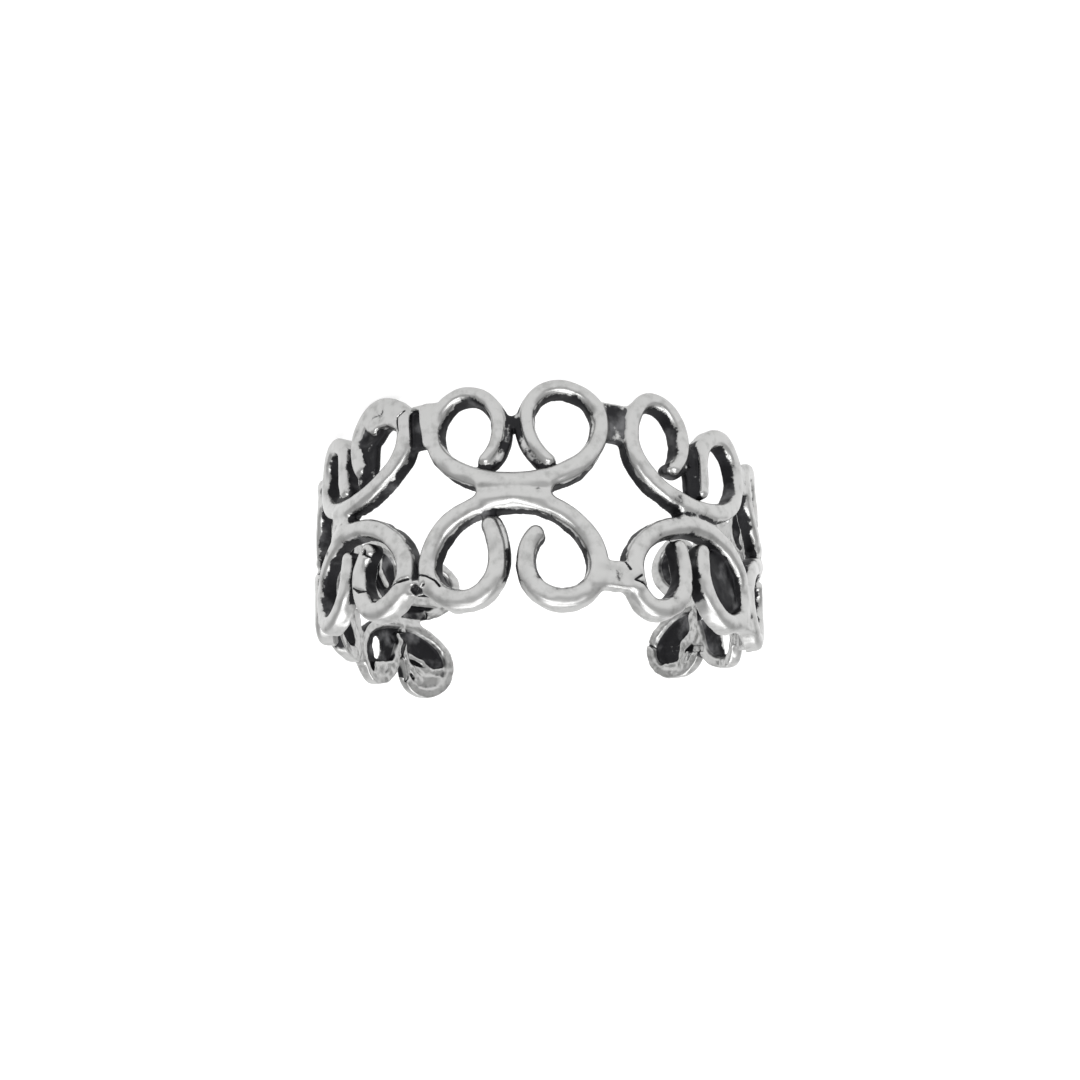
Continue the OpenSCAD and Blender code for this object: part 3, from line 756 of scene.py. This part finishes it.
def mix(tree, share, first, second):
    """Colours mixed by share, each of them a colour or another node's output."""
    n = add_node(tree, "ShaderNodeMix", data_type="RGBA")
    for socket, x in zip((n.inputs[0], n.inputs[6], n.inputs[7]), (share, first, second)):
        if isinstance(x, tuple):
            socket.default_value = x
        else:
            tree.links.new(x, socket)
    return n.outputs[2]


BLACK_OXIDE, RUBBED_OXIDE = (0.016, 0.016, 0.018, 1), (0.16, 0.16, 0.165, 1)
BRIGHT_SILVER, DULL_SILVER = (0.47, 0.47, 0.465, 1), (0.33, 0.33, 0.325, 1)


def antique_silver():
    mat, tree = node_tree("antique_silver")
    link = tree.links.new
    out = add_node(tree, "ShaderNodeOutputMaterial")
    shader = add_node(tree, "ShaderNodeBsdfPrincipled")
    shader.inputs["Specular IOR Level"].default_value = 0.5
    link(shader.outputs[0], out.inputs[0])
    where = add_node(tree, "ShaderNodeTexCoord").outputs["Object"]
    depth_at, cavity_at, toe_at, rim_at, crease_at = (
        add_node(tree, "ShaderNodeAttribute", attribute_name=label).outputs["Fac"] for label in SHADING)

    def plus(a, b):
        return maths(tree, "ADD", a, b)

    def minus(a, b):
        return maths(tree, "SUBTRACT", a, b)

    def times(a, b):
        return maths(tree, "MULTIPLY", a, b)

    def larger(a, b):
        return maths(tree, "MAXIMUM", a, b)

    def noise(scale, detail, rough=0.5):
        n = add_node(tree, "ShaderNodeTexNoise", in_Scale=scale, in_Detail=detail, in_Roughness=rough)
        link(where, n.inputs["Vector"])
        return n.outputs["Fac"]

    ragged = noise(2400, 5, 0.6)
    patches = noise(900, 4)
    grain = noise(5200, 3)
    # Oxide lies on the side walls and in the hollows of the casting, with a ragged edge. The toe
    # side is rubbed bright apart from its hollows.
    edge = plus(times(minus(ragged, 0.5), 0.60), times(minus(noise(450, 2), 0.5), 0.35))
    hollow = minus(cavity_at, 0.46)
    hollow = plus(times(hollow, 0.3), times(larger(hollow, 0.0), 0.9))
    walls = ramp(tree, plus(plus(depth_at, edge), hollow), 0.12, 0.20)
    toe_bright = ramp(tree, toe_at, 0.45, 0.80)
    recess = ramp(tree, plus(cavity_at, times(edge, 0.25)), 0.50, 0.62)
    kept = minus(1.0, times(toe_bright, minus(1.0, recess)))
    kept = larger(kept, ramp(tree, depth_at, 0.47, 0.40))
    # The band's top and bottom edges and its two ends are rubbed bright
    rubbed_rim = ramp(tree, plus(rim_at, edge), 0.35, 0.55)
    oxide = times(times(walls, kept), minus(1.0, rubbed_rim))
    oxide = larger(oxide, ramp(tree, plus(crease_at, edge), 0.30, 0.60))
    dark = mix(tree, ramp(tree, patches, 0.52, 0.74), BLACK_OXIDE, RUBBED_OXIDE)
    bright = mix(tree, ramp(tree, ragged, 0.45, 0.75), BRIGHT_SILVER, DULL_SILVER)
    link(mix(tree, oxide, bright, dark), shader.inputs["Base Color"])
    link(plus(ramp(tree, oxide, 0.0, 1.0, 0.30, 0.55), times(rim_at, 0.10)), shader.inputs["Roughness"])
    link(ramp(tree, oxide, 0.0, 1.0, 1.0, 0.75), shader.inputs["Metallic"])
    bump = add_node(tree, "ShaderNodeBump", in_Strength=0.25, in_Distance=0.00003)
    link(plus(times(ragged, oxide), times(grain, 0.15)), bump.inputs["Height"])
    link(bump.outputs[0], shader.inputs["Normal"])
    return mat


silver = antique_silver()
for piece in band:
    piece.data.materials.append(silver)
    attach(piece, "root")
    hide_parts("scroll_band")
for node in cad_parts.values():
    node.data.materials.clear()
    node.data.materials.append(silver)


# ---- Floor that sweeps up behind the ring --------------------------------------------------------
def sweep_floor():
    reach, rise_at, corner, top = 0.30, 0.16, 0.07, 0.30  # metres
    start = rise_at - corner
    turns = np.linspace(0, math.pi / 2, 17)[1:]
    profile = [(-reach, 0.0), (start, 0.0)]
    profile += [(start + corner * math.sin(a), corner - corner * math.cos(a)) for a in turns]
    profile += [(rise_at, top)]
    xs = (-reach, reach)
    floor_mesh = bpy.data.meshes.new("floor")
    pts = [(x, y, z) for y, z in profile for x in xs]
    faces = [(2 * i, 2 * i + 1, 2 * i + 3, 2 * i + 2) for i in range(len(profile) - 1)]
    floor_mesh.from_pydata(pts, [], faces)
    floor_mesh.polygons.foreach_set("use_smooth", [True] * len(faces))
    obj = bpy.data.objects.new("floor", floor_mesh)
    bpy.context.scene.collection.objects.link(obj)
    mat, tree = node_tree("floor_paper")
    out = add_node(tree, "ShaderNodeOutputMaterial")
    shader = add_node(tree, "ShaderNodeBsdfPrincipled")
    tree.links.new(shader.outputs[0], out.inputs[0])
    noise = add_node(tree, "ShaderNodeTexNoise", in_Scale=40, in_Detail=3)
    tone = mix(tree, noise.outputs["Fac"], (0.42, 0.42, 0.42, 1), (0.40, 0.40, 0.40, 1))
    tree.links.new(tone, shader.inputs["Base Color"])
    shader.inputs["Roughness"].default_value = 0.9
    shader.inputs["Specular IOR Level"].default_value = 0.1
    shader.inputs["Emission Color"].default_value = (1, 1, 1, 1)
    shader.inputs["Emission Strength"].default_value = 0.72
    floor_mesh.materials.append(mat)


sweep_floor()


# ---- Lights ------------------------------------------------------------------------------------
def area_light(name, place, target, width, height, power):
    light = bpy.data.lights.new(name, "AREA")
    light.shape = "RECTANGLE"
    light.size, light.size_y = width, height
    light.energy = power
    obj = bpy.data.objects.new(name, light)
    obj.location = place
    obj.rotation_euler = (Vector(target) - Vector(place)).to_track_quat("-Z", "Y").to_euler()
    bpy.context.scene.collection.objects.link(obj)


area_light("overhead", (0.0, -0.02, 0.16), (0, 0, 0.004), 0.14, 0.10, 0.125)
area_light("front_top", (-0.02, -0.12, 0.11), (0, 0, 0.004), 0.15, 0.05, 0.10)
area_light("back_wash", (0.0, 0.03, 0.20), (0, 0.16, 0.08), 0.20, 0.08, 0.08)

world = bpy.data.worlds.new("studio")
bpy.context.scene.world = world
world.use_nodes = True
background = world.node_tree.nodes["Background"]
background.inputs["Color"].default_value = (1, 1, 1, 1)
background.inputs["Strength"].default_value = 0.62

# ---- Camera: the photo's view, with the ring turned over, so the camera is rolled half a turn ----
CAM_DISTANCE = 3.5 * RING_RADIUS
CAM_TILT = 0.3117
CAM_AZIMUTH = -0.0806
CAM_ROLL = -0.0175
FOCAL_PX = 751.8
CENTRE_PX = (538.2, 579.1)
IMAGE_PX = 1080

target = Vector((0, 0, MID_HEIGHT))
outward = Vector((
    math.sin(CAM_AZIMUTH) * math.cos(CAM_TILT),
    -math.cos(CAM_AZIMUTH) * math.cos(CAM_TILT),
    math.sin(CAM_TILT),
))
side = Vector((0, 0, 1)).cross(outward).normalized()
up = outward.cross(side)
turn = math.pi + CAM_ROLL
right_axis = side * math.cos(turn) + up * math.sin(turn)
up_axis = outward.cross(right_axis)
lens = bpy.data.cameras.new("camera")
lens.sensor_fit = "HORIZONTAL"
lens.sensor_width = 36
lens.lens = 36 * FOCAL_PX / IMAGE_PX
lens.clip_start, lens.clip_end = 0.001, 5
lens.shift_x = (IMAGE_PX / 2 - CENTRE_PX[0]) / IMAGE_PX
lens.shift_y = (CENTRE_PX[1] - IMAGE_PX / 2) / IMAGE_PX
camera = bpy.data.objects.new("camera", lens)
basis = Matrix((right_axis, up_axis, outward)).transposed().to_4x4()
camera.matrix_world = Matrix.Translation(target + outward * CAM_DISTANCE) @ basis
bpy.context.scene.collection.objects.link(camera)
bpy.context.scene.camera = camera
bpy.context.scene.view_settings.view_transform = "Standard"
